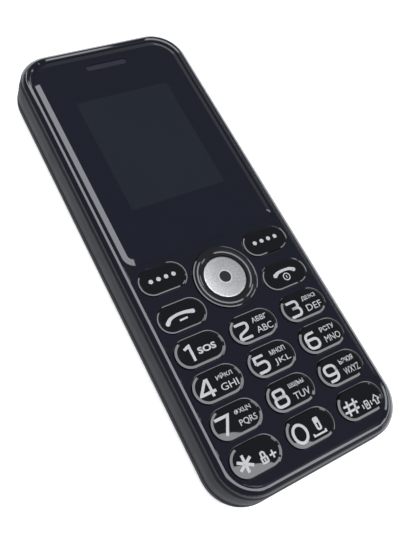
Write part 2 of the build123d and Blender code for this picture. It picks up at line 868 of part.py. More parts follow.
with BuildPart() as loudspeaker:
    with BuildSketch(Plane.XY.offset(chamber_low)):
        with Locations((speaker_x, speaker_y)):
            RectangleRounded(speaker_width, speaker_length, speaker_corner)
    extrude(amount=speaker_thickness)
    with BuildSketch(Plane.XY.offset(chamber_low)):
        with Locations((speaker_x, speaker_y)):
            Circle(speaker_cone_radius)
    extrude(amount=speaker_cone_depth, mode=Mode.SUBTRACT)
save(loudspeaker.part, "loudspeaker")

# Vibration motor and the eccentric weight on its shaft
motor_end_y = motor_y + motor_length / 2
with BuildPart() as vibration_motor:
    with BuildSketch(Plane.XZ.offset(-motor_end_y)):
        with Locations((motor_x, motor_z)):
            Circle(motor_radius)
    extrude(amount=motor_length)
    with BuildSketch(Plane.XZ.offset(-motor_end_y)):
        with Locations((motor_x, motor_z)):
            Circle(motor_shaft_radius + motor_shaft_fit)
    extrude(amount=motor_shaft_reach, mode=Mode.SUBTRACT)
save(vibration_motor.part, "vibration_motor")

weight_end_y = motor_end_y + weight_gap + weight_thickness
with BuildPart() as motor_weight:
    with BuildSketch(Plane.XZ.offset(-weight_end_y)):
        with Locations((motor_x, motor_z)):
            Circle(weight_radius)
        with Locations((motor_x, motor_z + weight_radius)):
            Rectangle(2 * weight_radius, 2 * weight_radius, mode=Mode.SUBTRACT)
        with Locations((motor_x, motor_z)):
            Circle(weight_bore_radius)
    extrude(amount=weight_thickness)
    with BuildSketch(Plane.XZ.offset(-weight_end_y)):
        with Locations((motor_x, motor_z)):
            Circle(motor_shaft_radius)
    extrude(amount=weight_thickness + weight_gap + motor_shaft_reach - motor_shaft_fit)
save(motor_weight.part, "motor_weight")

# Antenna: a slotted sheet on the chamber floor with two legs up to the board
with BuildPart() as antenna:
    with BuildSketch(Plane.XY.offset(chamber_low)):
        with Locations((0, antenna_y)):
            Rectangle(antenna_width, antenna_length)
            with GridLocations(antenna_width / antenna_slot_count, 0, antenna_slot_count, 1):
                Rectangle(antenna_slot_width, antenna_length - 2 * antenna_leg, mode=Mode.SUBTRACT)
    extrude(amount=antenna_sheet)
    with BuildSketch(Plane.XY.offset(chamber_low)):
        with Locations((-antenna_leg_x, antenna_y + (antenna_length - antenna_sheet) / 2),
                       (antenna_leg_x, antenna_y + (antenna_length - antenna_sheet) / 2)):
            Rectangle(antenna_leg, antenna_sheet)
    extrude(amount=board_low - chamber_low)
save(antenna.part, "antenna")

# Rear housing: the leaning side band, the deck under the battery cover, the battery bay,
# screw posts, card windows and the openings of the top end
lean_low = seam_level - lean_rise
sim_places = ((-sim_x, sim_y), (sim_x, sim_y))
with BuildPart() as rear_housing:
    with BuildSketch(Plane.XY.offset(band_low)):
        outline(band_inset)
    extrude(amount=lean_low - band_low)
    extrude(rear_housing.faces().sort_by(Axis.Z)[-1], amount=lean_rise,
            taper=degrees(atan2(side_lean - band_inset, lean_rise)))
    fillet(rear_housing.edges().filter_by_position(Axis.Z, lean_low - edge_reach, lean_low + edge_reach),
           lean_blend)
    chamfer(rear_housing.faces().sort_by(Axis.Z)[-1].edges(), seam_chamfer)
    chamfer(rear_housing.faces().sort_by(Axis.Z)[0].edges(), seam_chamfer)
    with BuildSketch(Plane.XY.offset(band_low)):
        outline(deck_inset)
    extrude(amount=deck_low - band_low)
    fillet(rear_housing.faces().sort_by(Axis.Z)[0].edges(), cover_edge_radius - deck_inset)
    with BuildSketch(Plane.XY.offset(tray_high)):
        outline(inner_inset)
    extrude(amount=seam_level - tray_high, mode=Mode.SUBTRACT)
    with BuildSketch(Plane.XY.offset(chamber_low)):
        outline(inner_inset)
    extrude(amount=tray_high - chamber_low, mode=Mode.SUBTRACT)
    with BuildSketch(Plane.XY.offset(deck_low)):
        with Locations((0, battery_y)):
            Rectangle(bay_width + 2 * battery_bay_wall, bay_length + 2 * battery_bay_wall)
    extrude(amount=tray_high - deck_low)
    with BuildSketch(Plane.XY.offset(deck_low)):
        with Locations((0, battery_y)):
            Rectangle(bay_width, bay_length)
    extrude(amount=tray_low - deck_low, mode=Mode.SUBTRACT)
    with BuildSketch(Plane.XY.offset(tray_low)):
        with Locations(*sim_places):
            Rectangle(sim_width + 2 * socket_clearance, sim_length + 2 * socket_clearance)
        with Locations((0, memory_y)):
            Rectangle(memory_width + 2 * socket_clearance, memory_length + 2 * socket_clearance)
    extrude(amount=tray_high - tray_low, mode=Mode.SUBTRACT)
    with BuildSketch(Plane.XY.offset(tray_high)):
        with Locations((0, bay_top_y + battery_bay_wall / 2)):
            Rectangle(connector_width + 2 * connector_fit, 2 * battery_bay_wall)
    extrude(amount=board_low - connector_drop - connector_fit - tray_high, mode=Mode.SUBTRACT)
    with BuildSketch(Plane.XY.offset(post_low)):
        with Locations(*screw_places):
            Circle(post_radius)
    extrude(amount=board_low - post_low)
    with BuildSketch(Plane.XY.offset(deck_low)):
        with Locations(*screw_places):
            Circle(screw_head_radius + screw_well_fit)
    extrude(amount=screw_ledge - deck_low, mode=Mode.SUBTRACT)
    with BuildSketch(Plane.XY.offset(screw_ledge)):
        with Locations(*screw_places):
            Circle(screw_shank_radius + screw_well_fit / 2)
    extrude(amount=board_low - screw_ledge, mode=Mode.SUBTRACT)
    with BuildSketch(Plane.XY.offset(chamber_low)):
        with Locations((motor_x, motor_y)):
            Rectangle(2 * (motor_radius + cradle_wall), motor_length - 2 * cradle_wall)
    extrude(amount=motor_z - chamber_low)
    with BuildSketch(Plane.XZ.offset(-motor_end_y)):
        with Locations((motor_x, motor_z)):
            Circle(motor_radius + motor_shaft_fit)
    extrude(amount=motor_length, mode=Mode.SUBTRACT)
    with BuildSketch(Plane.XY.offset(deck_low)):
        with Locations((camera_x, camera_y)):
            Circle(camera_barrel_radius + camera_fit)
        with Locations((speaker_x, speaker_y)):
            with GridLocations(0, speaker_slot_pitch, 1, speaker_slot_count):
                SlotOverall(speaker_slot_length, speaker_slot_width)
    extrude(amount=deck_floor, mode=Mode.SUBTRACT)
    with BuildSketch(Plane.XZ.offset(-end_face_y)):
        with Locations((jack_x, port_z)):
            Circle(jack_bore_radius + jack_wall_fit)
        with Locations((usb_x, port_z)):
            RectangleRounded(usb_width + 2 * port_fit, usb_height + 2 * port_fit,
                             usb_corner + port_fit)
        with Locations((0, torch_z)):
            Circle(torch_radius + port_fit)
    extrude(amount=end_face_y - inner_end_y + port_fit, mode=Mode.SUBTRACT)
    with BuildSketch(Plane.XZ.offset(end_face_y)):
        with Locations((0, mic_hole_z)):
            Circle(mic_hole_radius)
    extrude(amount=-(end_face_y - inner_end_y + port_fit), mode=Mode.SUBTRACT)
save(rear_housing.part, "rear_housing")

# Housing screws, one group: pan head in the well, shank in the boss
screw_head_low = screw_ledge - screw_head
with BuildPart() as housing_screws:
    with BuildSketch(Plane.XY.offset(screw_head_low)):
        with Locations(*screw_places):
            Circle(screw_head_radius)
    extrude(amount=screw_head)
    with BuildSketch(Plane.XY.offset(screw_ledge)):
        with Locations(*screw_places):
            Circle(screw_shank_radius)
    extrude(amount=board_low + screw_bite - screw_bite_gap - screw_ledge)
    with BuildSketch(Plane.XY.offset(screw_head_low)):
        with Locations(*screw_places):
            Rectangle(screw_cross_length, screw_cross_width)
            Rectangle(screw_cross_width, screw_cross_length)
    extrude(amount=screw_cross_depth, mode=Mode.SUBTRACT)
save(housing_screws.part, "housing_screws")

# Card sockets: pressed shells, open at the end where the card slides in
with BuildPart() as sim_socket:
    with BuildSketch(Plane.XY.offset(tray_low)):
        with Locations((0, sim_y)):
            Rectangle(sim_width, sim_length)
    extrude(amount=board_low - tray_low)
    with BuildSketch(Plane.XY.offset(tray_low + socket_shell)):
        with Locations((0, sim_y - socket_rail)):
            Rectangle(sim_width - 2 * socket_rail, sim_length)
    extrude(amount=card_slot_height, mode=Mode.SUBTRACT)
    with BuildSketch(Plane.XY.offset(tray_low)):
        with Locations((0, sim_y - sim_length / 4)):
            Rectangle(sim_width - sim_window_border, sim_length / 2)
    extrude(amount=socket_shell, mode=Mode.SUBTRACT)

for name, place in zip(("sim_socket_left", "sim_socket_right"), sim_places):
    save(sim_socket.part.moved(Location((place[0], 0, 0))), name)

with BuildPart() as memory_socket:
    with BuildSketch(Plane.XY.offset(tray_low)):
        with Locations((0, memory_y)):
            Rectangle(memory_width, memory_length)
    extrude(amount=board_low - tray_low)
    with BuildSketch(Plane.XY.offset(tray_low + socket_shell)):
        with Locations((0, memory_y - socket_rail)):
            Rectangle(memory_width - 2 * socket_rail, memory_length)
    extrude(amount=card_slot_height, mode=Mode.SUBTRACT)
save(memory_socket.part, "memory_card_socket")

# Battery connector and its three spring blades
battery_end_y = battery_y + battery_length / 2
connector_y = bay_top_y + connector_length / 2
connector_low = board_low - connector_drop
contact_places = [(index - (contact_count - 1) / 2) * contact_pitch
                  for index in range(contact_count)]
with BuildPart() as battery_connector:
    with BuildSketch(Plane.XY.offset(connector_low)):
        with Locations((0, connector_y)):
            Rectangle(connector_width, connector_length)
    extrude(amount=connector_drop)
    with BuildSketch(Plane.XY.offset(connector_low)):
        with Locations(*[(x, bay_top_y + contact_reach / 2) for x in contact_places]):
            Rectangle(contact_width + 2 * tray_fit, contact_reach)
    extrude(amount=connector_drop - contact_root, mode=Mode.SUBTRACT)
save(battery_connector.part, "battery_connector")

with BuildPart() as battery_contacts:
    for x in contact_places:
        with BuildSketch(Plane.YZ.offset(x - contact_width / 2)):
            with BuildLine():
                Polyline(
                    (bay_top_y + contact_reach - contact_seat, board_low - contact_root - tray_fit),
                    (battery_end_y + contact_touch, connector_low + contact_knee),
                    (bay_top_y + contact_reach - contact_seat, connector_low + contact_foot),
                    (bay_top_y + contact_reach - contact_seat - contact_thickness,
                     connector_low + contact_foot),
                    (battery_end_y + contact_touch + contact_thickness,
                     connector_low + contact_knee),
                    (bay_top_y + contact_reach - contact_seat + contact_thickness,
                     board_low - contact_root - tray_fit),
                    close=True)
            make_face()
        extrude(amount=contact_width)
save(battery_contacts.part, "battery_contacts")

# Battery: a flat cell with rounded long edges and sunk contact pads at its upper end
battery_low = cover_wall + battery_lift
with BuildPart() as battery:
    with BuildSketch(Plane.XY.offset(battery_low)):
        with Locations((0, battery_y)):
            Rectangle(battery_width, battery_length)
    extrude(amount=battery_thickness)
    fillet(battery.edges().filter_by(Axis.Y), battery_edge_radius)
save(battery.part, "battery")

# Battery cover: the whole back with wrapped sides, loudspeaker slots,
# the camera window's seat and the notch for a fingernail
with BuildPart() as battery_cover:
    with BuildSketch(Plane.XY):
        outline(0)
    extrude(amount=cover_rim)
    fillet(battery_cover.faces().sort_by(Axis.Z)[0].edges(), cover_edge_radius)
    offset(amount=-cover_wall, openings=battery_cover.faces().sort_by(Axis.Z)[-1])
    chamfer(battery_cover.faces().sort_by(Axis.Z)[-1].outer_wire().edges(), cover_edge_slope)
    with BuildSketch(Plane.XY):
        with Locations((camera_x, camera_y)):
            Circle(camera_window_radius - camera_window_seat)
        with Locations((speaker_x, speaker_y)):
            with GridLocations(0, speaker_slot_pitch, 1, speaker_slot_count):
                SlotOverall(speaker_slot_length, speaker_slot_width)
    extrude(amount=cover_wall, mode=Mode.SUBTRACT)
    with BuildSketch(Plane.XY):
        with Locations((camera_x, camera_y)):
            Circle(camera_window_radius + camera_window_fit)
    extrude(amount=camera_window_recess + camera_window_thickness, mode=Mode.SUBTRACT)
    with BuildSketch(Plane.XY.offset(cover_rim - thumb_notch_depth)):
        with Locations((0, -body_length / 2)):
            SlotOverall(thumb_notch_width, 2 * cover_wall)
    extrude(amount=thumb_notch_depth, mode=Mode.SUBTRACT)
save(battery_cover.part, "battery_cover")

with BuildPart() as camera_window:
    with BuildSketch(Plane.XY.offset(camera_window_recess)):
        with Locations((camera_x, camera_y)):
            Circle(camera_window_radius)
    extrude(amount=camera_window_thickness)
save(camera_window.part, "camera_window")
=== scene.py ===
from math import copysign, cos, pi, radians, sin

import bmesh
import bpy
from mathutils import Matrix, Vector
from mathutils.bvhtree import BVHTree


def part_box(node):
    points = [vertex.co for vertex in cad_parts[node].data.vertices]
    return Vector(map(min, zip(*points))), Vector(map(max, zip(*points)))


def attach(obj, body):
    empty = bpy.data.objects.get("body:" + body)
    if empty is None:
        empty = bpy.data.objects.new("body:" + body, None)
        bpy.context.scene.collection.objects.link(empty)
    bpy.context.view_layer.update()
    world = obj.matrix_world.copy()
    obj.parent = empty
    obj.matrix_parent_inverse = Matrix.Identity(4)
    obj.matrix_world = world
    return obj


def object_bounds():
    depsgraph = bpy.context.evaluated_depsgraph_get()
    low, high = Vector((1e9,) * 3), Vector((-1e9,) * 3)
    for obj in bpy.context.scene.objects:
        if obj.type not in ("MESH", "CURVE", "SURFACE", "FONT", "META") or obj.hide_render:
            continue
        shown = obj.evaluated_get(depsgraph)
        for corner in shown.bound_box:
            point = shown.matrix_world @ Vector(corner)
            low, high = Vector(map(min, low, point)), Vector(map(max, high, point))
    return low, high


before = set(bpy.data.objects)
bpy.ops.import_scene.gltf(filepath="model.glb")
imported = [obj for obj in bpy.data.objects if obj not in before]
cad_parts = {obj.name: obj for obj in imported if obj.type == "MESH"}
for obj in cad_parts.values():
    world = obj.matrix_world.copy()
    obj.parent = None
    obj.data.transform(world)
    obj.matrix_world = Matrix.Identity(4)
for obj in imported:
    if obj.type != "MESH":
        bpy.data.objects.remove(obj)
cad_box = [list(corner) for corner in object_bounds()]
scene = bpy.context.scene
mm = 0.001

# Camera: it looks down on the face from above the lower left corner of the phone, close enough that
# the near end looks larger than the far one.
camera_place = (-73.65 * mm, -54.99 * mm, 149.66 * mm)
camera_turn = (radians(26.92), radians(-13.01), radians(-27.13))
focal_length = 43.67
centre_shift = (0.0721, -0.0098)
nearest_seen = 0.01

camera_data = bpy.data.cameras.new("photo_camera")
camera_data.lens = focal_length
camera_data.shift_x, camera_data.shift_y = centre_shift
camera_data.clip_start = nearest_seen
camera = bpy.data.objects.new("photo_camera", camera_data)
camera.location = camera_place
camera.rotation_euler = camera_turn
scene.collection.objects.link(camera)
scene.camera = camera
scene.view_settings.view_transform = "Standard"

# Lamps: soft panels that hang level above the table. One is over the left side of the phone, one
# past its top left corner, two past its lower end and a small one past its right side. The slopes
# that face them shine, and the flats stay dark.
lamp_height = 0.31
lamp_radiance = 3.1
lamp_colour = (0.93, 0.96, 1.0)


def soft_lamp(name, centre, turn, across, along, share=1.0):
    """A rectangular panel that shines straight down, with this share of the full radiance."""
    data = bpy.data.lights.new(name, "AREA")
    data.shape = "RECTANGLE"
    data.size, data.size_y = across, along
    data.energy = share * lamp_radiance * pi * across * along
    data.color = lamp_colour
    lamp = bpy.data.objects.new(name, data)
    lamp.location = (*centre, lamp_height)
    lamp.rotation_euler = (0, 0, turn)
    scene.collection.objects.link(lamp)


soft_lamp("lamp_over_left_side", (-0.072, 0.13), 0, 0.236, 0.34)
soft_lamp("lamp_past_top_left", (-0.19, 0.605), 0, 0.1, 0.61)
soft_lamp("lamp_over_low_end", (0.1147, -0.2268), radians(-33), 0.68, 0.227)
soft_lamp("lamp_past_low_right", (0.4525, -0.17), 0, 0.335, 0.204, share=0.8)
soft_lamp("lamp_past_right", (0.57, 0.15), 0, 0.16, 0.2, share=0.6)

# Room: a dim grey sky, lightest from the horizon up to a low height, that fills the shadows. Heights
# are the upward part of the direction, from 0 at the horizon to 1 overhead.
glow_ends, dimmest_starts = 0.1, 0.5
horizon_light, ceiling_light = 0.5, 0.1


def place(tree, kind, inputs=None, **settings):
    """Add a node. An input is given by its name or number, as a value or as another node's output."""
    made = tree.nodes.new(kind)
    for name, value in settings.items():
        setattr(made, name, value)
    for name, value in (inputs or {}).items():
        if isinstance(value, bpy.types.NodeSocket):
            tree.links.new(value, made.inputs[name])
        else:
            made.inputs[name].default_value = value
    return made


def span(tree, value, start, end, low, high, **settings):
    """Carry a value over, so that start becomes low and end becomes high."""
    ends = {"Value": value, "From Min": start, "From Max": end, "To Min": low, "To Max": high}
    return place(tree, "ShaderNodeMapRange", ends, **settings).outputs[0]


world = bpy.data.worlds.new("dim_room")
world.use_nodes = True
scene.world = world
room = world.node_tree
room.nodes.clear()
direction = place(room, "ShaderNodeTexCoord").outputs["Generated"]
height = place(room, "ShaderNodeSeparateXYZ", {0: direction}).outputs["Z"]
wall_light = span(room, height, glow_ends, dimmest_starts, horizon_light, ceiling_light,
                  interpolation_type="SMOOTHSTEP")
sky = place(room, "ShaderNodeBackground", {"Color": (1, 1, 1, 1), "Strength": wall_light})
place(room, "ShaderNodeOutputWorld", {"Surface": sky.outputs[0]})

# Table: a pale round top that curves up into a low backdrop all round, past the camera's view. It
# takes the phone's soft shadow and glows a little for the camera. From below it isn't seen, and a
# hole that the phone's flat back covers lets light reach that back.
table_glow = 0.6
table_colour = (0.85, 0.85, 0.86, 1)
table_flat, table_reach, backdrop_height = 0.5, 1.3, 0.34
table_drop = 0.02 * mm
table_sides, rise_steps = 64, 10
# Squareness is 1 for a round ring, and near 0 the ring fills out to a rectangle.
hole_across, hole_along, hole_squareness = 22.2 * mm, 56.1 * mm, 0.24


def reckon(tree, operation, *values, **settings):
    """One step of arithmetic on values and other nodes' outputs."""
    inputs = dict(enumerate(values))
    return place(tree, "ShaderNodeMath", inputs, operation=operation, **settings).outputs[0]


rings = [(hole_across, hole_along, 0, hole_squareness)]
for k in range(rise_steps + 1):
    reach = table_flat + (table_reach - table_flat) * k / rise_steps
    rings.append((reach, reach, backdrop_height * (k / rise_steps) ** 2, 1))

table_mesh = bpy.data.meshes.new("table")
shape = bmesh.new()
loops = []
for across, along, z, squareness in rings:
    loops.append([])
    for k in range(table_sides):
        turn = 2 * pi * k / table_sides
        x, y = (copysign(abs(part) ** squareness, part) for part in (cos(turn), sin(turn)))
        loops[-1].append(shape.verts.new((across * x, along * y, z - table_drop)))
for inner, outer in zip(loops, loops[1:]):
    for k in range(table_sides):
        on = (k + 1) % table_sides
        shape.faces.new((inner[k], outer[k], outer[on], inner[on]))
for face in shape.faces:
    face.smooth = True
shape.to_mesh(table_mesh)
shape.free()
table = bpy.data.objects.new("table", table_mesh)
scene.collection.objects.link(table)

table_top = bpy.data.materials.new("pale_table")
table_top.use_nodes = True
tree = table_top.node_tree
tree.nodes.clear()
rays = place(tree, "ShaderNodeLightPath").outputs
seen = reckon(tree, "MAXIMUM", rays["Is Camera Ray"], rays["Is Glossy Ray"])
seen = reckon(tree, "MAXIMUM", seen, rays["Is Transmission Ray"])
glow = reckon(tree, "MULTIPLY", seen, table_glow)
paint = place(tree, "ShaderNodeBsdfDiffuse", {"Color": table_colour})
shine = place(tree, "ShaderNodeEmission", {"Strength": glow})
both = place(tree, "ShaderNodeAddShader", {0: paint.outputs[0], 1: shine.outputs[0]})
below = place(tree, "ShaderNodeNewGeometry").outputs["Backfacing"]
clear = place(tree, "ShaderNodeBsdfTransparent")
shown = place(tree, "ShaderNodeMixShader", {0: below, 1: both.outputs[0], 2: clear.outputs[0]})
place(tree, "ShaderNodeOutputMaterial", {"Surface": shown.outputs[0]})
table_mesh.materials.append(table_top)

# Rear housing: the matte dark moulding round the middle of the sides, in polycarbonate with a fine
# spark-eroded grain. It carries the board, the battery bay and the screws.
noise_low, noise_high = 0.3, 0.7
cloud_scale = 55
smudge_scale, smudge_starts, smudge_full = 130, 0.45, 0.72
scratch_turn, scratch_scale = (0, 0.3, 0.6), (60, 5200, 2600)
scratch_starts, scratch_full = 0.7, 0.78


def linear(red, green, blue):
    """A colour read as 0 to 255 on a screen, as the shader takes it."""
    parts = [part / 255 for part in (red, green, blue)]
    return (*(c / 12.92 if c < 0.04045 else ((c + 0.055) / 1.055) ** 2.4 for c in parts), 1.0)


def spot_on(tree):
    """The place of a surface point at rest, in metres from the origin."""
    return place(tree, "ShaderNodeTexCoord").outputs["Object"]


def noise(tree, spot, scale, detail, **more):
    """Soft random spots, with finer ones on them in as many steps as the detail says."""
    inputs = {"Vector": spot, "Scale": scale, "Detail": detail, **more}
    return place(tree, "ShaderNodeTexNoise", inputs).outputs["Fac"]


def socket(tree, name, kind, way, value=None):
    """Add a named input or output to a node group."""
    made = tree.interface.new_socket(name, in_out=way, socket_type="NodeSocket" + kind)
    if value is not None:
        made.default_value = value


surface = bpy.data.node_groups.new("Worn_surface", "ShaderNodeTree")
socket(surface, "Color", "Color", "INPUT", (0.5, 0.5, 0.5, 1))
socket(surface, "Color drift", "Float", "INPUT", 0.05)
socket(surface, "Roughness", "Float", "INPUT", 0.4)
socket(surface, "Marks", "Float", "INPUT", 0.1)
socket(surface, "Grain per metre", "Float", "INPUT", 6000)
socket(surface, "Color", "Color", "OUTPUT")
socket(surface, "Roughness", "Float", "OUTPUT")
socket(surface, "Height", "Float", "OUTPUT")
given = place(surface, "NodeGroupInput").outputs
spot = spot_on(surface)
clouds = noise(surface, spot, cloud_scale, 3)
swing = span(surface, clouds, noise_low, noise_high, -1, 1)
swing = reckon(surface, "MULTIPLY_ADD", swing, given["Color drift"], 1)
tinted = place(surface, "ShaderNodeVectorMath", {0: given["Color"], "Scale": swing},
               operation="SCALE")
touched = noise(surface, spot, smudge_scale, 5, Distortion=0.7)
smudge = span(surface, touched, smudge_starts, smudge_full, 0, 1)
turned = place(surface, "ShaderNodeMapping",
               {"Vector": spot, "Rotation": scratch_turn, "Scale": scratch_scale})
hairs = noise(surface, turned.outputs[0], 1, 1)
scratch = span(surface, hairs, scratch_starts, scratch_full, 0, 1)
marks = reckon(surface, "ADD", smudge, scratch)
rough = reckon(surface, "MULTIPLY_ADD", marks, given["Marks"], given["Roughness"], use_clamp=True)
grain = noise(surface, spot, given["Grain per metre"], 2)
place(surface, "NodeGroupOutput", {"Color": tinted.outputs[0], "Roughness": rough, "Height": grain})


def finish(name, colour, roughness, drift=0.06, marks=0.08, grain=6000, depth=0.002, **fixed):
    """A material on the worn surface, with grain this many mm deep and fixed values of the shader."""
    made = bpy.data.materials.new(name)
    made.use_nodes = True
    tree = made.node_tree
    shader = tree.nodes["Principled BSDF"]
    worn = place(tree, "ShaderNodeGroup", node_tree=surface)
    worn.name = "worn"
    for label, value in (("Color", colour), ("Color drift", drift), ("Roughness", roughness),
                         ("Marks", marks), ("Grain per metre", grain)):
        worn.inputs[label].default_value = value
    bump = place(tree, "ShaderNodeBump", {"Strength": 0.5, "Distance": depth * mm,
                                          "Height": worn.outputs["Height"]})
    bump.name = "bump"
    tree.links.new(worn.outputs["Color"], shader.inputs["Base Color"])
    tree.links.new(worn.outputs["Roughness"], shader.inputs["Roughness"])
    tree.links.new(bump.outputs[0], shader.inputs["Normal"])
    for label, value in fixed.items():
        shader.inputs[label.replace("_", " ")].default_value = value
    made.diffuse_color = colour
    return made


def dress(material, *names):
    """Give CAD nodes a material in each of their slots."""
    for name in names:
        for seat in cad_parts[name].material_slots:
            seat.material = material


side_grain = finish("side_grain", linear(58, 58, 61), 0.5, drift=0.1, grain=9000, depth=0.012,
                    Specular_IOR_Level=0.06)
dress(side_grain, "rear_housing")

# Battery cover: a thin shell that wraps the back and the lower sides, in the same resin as the rear
# housing, grained a little coarser. Hooks inside its edge hold it on the housing.
cover_grain = finish("cover_grain", linear(52, 52, 55), 0.5, drift=0.1, grain=7000, depth=0.014,
                     Specular_IOR_Level=0.06)
dress(cover_grain, "battery_cover")

# Camera window and torch window: small polished panes bonded into the cover and the top end. The
# pane over the camera is smoked, the torch's is clear.
camera_pane = finish("smoked_pane", linear(12, 13, 18), 0.06, marks=0.04, depth=0.0005)
dress(camera_pane, "camera_window")
torch_pane = finish("clear_pane", linear(226, 232, 236), 0.12, Transmission_Weight=0.7)
dress(torch_pane, "torch_lens")

# Main board: glass fibre under green solder mask. Copper tracks show through the mask as lighter
# lines, with small gold-plated pads between them.
track_scale, track_gap = 700, 0.06
pad_scale, pad_size = 900, 0.16


def blend(tree, share, plain, other):
    """One colour where the share is 0, and the other where it is 1."""
    inputs = {"Factor": share, "A": plain, "B": other}
    return place(tree, "ShaderNodeMix", inputs, data_type="RGBA").outputs["Result"]


def recolour(material, colour):
    """Give the worn surface of a material a colour that changes from place to place."""
    tree = material.node_tree
    tree.links.new(colour, tree.nodes["worn"].inputs["Color"])


board_green = finish("solder_mask", linear(16, 84, 46), 0.3, drift=0.12)
tree = board_green.node_tree
spot = spot_on(tree)
tracks = place(tree, "ShaderNodeTexBrick",
               {"Vector": spot, "Scale": track_scale, "Mortar Size": track_gap,
                "Color1": linear(18, 92, 50), "Color2": linear(14, 78, 42),
                "Mortar": linear(58, 140, 84)})
pads = place(tree, "ShaderNodeTexVoronoi", {"Vector": spot, "Scale": pad_scale})
on_pad = reckon(tree, "LESS_THAN", pads.outputs["Distance"], pad_size)
recolour(board_green, blend(tree, on_pad, tracks.outputs["Color"], linear(196, 176, 120)))
dress(board_green, "main_board")

# Pressed parts on the board: shield cans, card sockets, charging port, microphone can and motor
# case, cut from tinned steel strip whose rolling lines still show.
brushed = bpy.data.node_groups.new("Drawn_lines", "ShaderNodeTree")
socket(brushed, "Lines per metre", "Float", "INPUT", 9000)
socket(brushed, "Length of a line", "Float", "INPUT", 0.02)
socket(brushed, "Height", "Float", "OUTPUT")
given = place(brushed, "NodeGroupInput").outputs
across = given["Lines per metre"]
along = reckon(brushed, "MULTIPLY", across, given["Length of a line"])
pull = place(brushed, "ShaderNodeCombineXYZ", {"X": along, "Y": across, "Z": across})
pulled = place(brushed, "ShaderNodeVectorMath", {0: spot_on(brushed), 1: pull.outputs[0]},
               operation="MULTIPLY")
place(brushed, "NodeGroupOutput", {"Height": noise(brushed, pulled.outputs[0], 1, 2)})


def draw_lines(material, per_metre, length, low, high):
    """Fine drawn lines on a metal: they lift its surface and swing its roughness from low to high."""
    tree = material.node_tree
    drawn = place(tree, "ShaderNodeGroup", node_tree=brushed)
    drawn.inputs["Lines per metre"].default_value = per_metre
    drawn.inputs["Length of a line"].default_value = length
    lines = drawn.outputs["Height"]
    tree.links.new(lines, tree.nodes["bump"].inputs["Height"])
    swing = span(tree, lines, noise_low, noise_high, low, high)
    tree.links.new(swing, tree.nodes["worn"].inputs["Roughness"])


tinned_steel = finish("tinned_steel", linear(186, 188, 190), 0.32, marks=0.14, Metallic=1.0)
draw_lines(tinned_steel, 6000, 0.03, 0.26, 0.4)
dress(tinned_steel, "shield_cans", "microphone", "usb_port", "vibration_motor", "sim_socket_left",
      "sim_socket_right", "memory_card_socket")

# Moulded parts on the board: jack, camera barrel, loudspeaker frame, battery connector, receiver and
# display tray, in black glass-filled nylon with a dull, slightly mottled skin.
black_nylon = finish("black_nylon", linear(34, 34, 36), 0.55, drift=0.15, grain=4000, depth=0.006)
dress(black_nylon, "headphone_jack", "camera_module", "loudspeaker", "battery_connector",
      "earpiece_receiver", "lcd_tray")

# Contacts and aerial: thin bronze spring blades that press on the battery's pads, and a slotted sheet
# with two legs up to the board. Both are plated with gold over nickel.
gold_plate = finish("gold_plate", linear(226, 186, 104), 0.25, marks=0.12, Metallic=1.0)
draw_lines(gold_plate, 8000, 0.05, 0.2, 0.32)
dress(gold_plate, "antenna", "battery_contacts")

# Lamps on the board: six small ones that light the keypad from below, and one for the torch behind
# its window. They are chips cast in yellow resin and soldered to the board.
lamp_resin = finish("lamp_resin", linear(236, 214, 120), 0.35, Transmission_Weight=0.2)
dress(lamp_resin, "keypad_leds", "torch_led")

# Motor weight: a half-round of sintered tungsten, grey and slightly porous, pressed on the motor's
# shaft off its centre, so that the turning shaft shakes the phone.
sintered = finish("sintered_weight", linear(112, 112, 116), 0.45, grain=7000, depth=0.008,
                  Metallic=1.0)
dress(sintered, "motor_weight")

# Screws: six alike, turned from steel with pan heads, finished in black zinc. They are driven from
# the back, through wells in the rear housing, into the bosses of the front housing.
black_zinc = finish("black_zinc", linear(84, 84, 88), 0.36, marks=0.16, Metallic=1.0)
dress(black_zinc, "housing_screws")

# Battery: a lithium cell in a printed silver sleeve, with a black moulded head at the contact end
# and a dark wrap on the other edge.
head_starts, sleeve_ends = 12.2 * mm, -36.9 * mm
sleeve_silver, end_black = linear(156, 158, 162), linear(30, 30, 32)


def split_spot(tree):
    """The place of a surface point at rest, split into X, Y and Z."""
    return place(tree, "ShaderNodeSeparateXYZ", {0: spot_on(tree)}).outputs


cell_sleeve = finish("cell_sleeve", sleeve_silver, 0.34, marks=0.12, Metallic=0.5)
draw_lines(cell_sleeve, 5000, 0.04, 0.28, 0.42)
tree = cell_sleeve.node_tree
along = split_spot(tree)["Y"]
head = reckon(tree, "GREATER_THAN", along, head_starts)
foot = reckon(tree, "LESS_THAN", along, sleeve_ends)
ends = reckon(tree, "MAXIMUM", head, foot)
recolour(cell_sleeve, blend(tree, ends, sleeve_silver, end_black))
dress(cell_sleeve, "battery")

# Display: a glass panel over a white light guide, with an amber film that folds to the board. The
# panel's fine raster of cells is etched between its two glasses.
raster_scale, raster_gap = 3000, 0.08

panel_glass = finish("panel_glass", linear(40, 44, 46), 0.12)
tree = panel_glass.node_tree
cells = place(tree, "ShaderNodeTexBrick",
              {"Vector": spot_on(tree), "Scale": raster_scale, "Mortar Size": raster_gap,
               "Color1": linear(44, 48, 50), "Color2": linear(40, 44, 46),
               "Mortar": linear(28, 30, 32)}, offset=0.0)
recolour(panel_glass, cells.outputs["Color"])
dress(panel_glass, "lcd_panel")
light_guide = finish("light_guide", linear(228, 230, 230), 0.5, drift=0.03)
dress(light_guide, "lcd_backlight")
amber_film = finish("amber_film", linear(176, 112, 36), 0.35, drift=0.12)
draw_lines(amber_film, 3000, 0.01, 0.3, 0.45)
dress(amber_film, "lcd_flex")

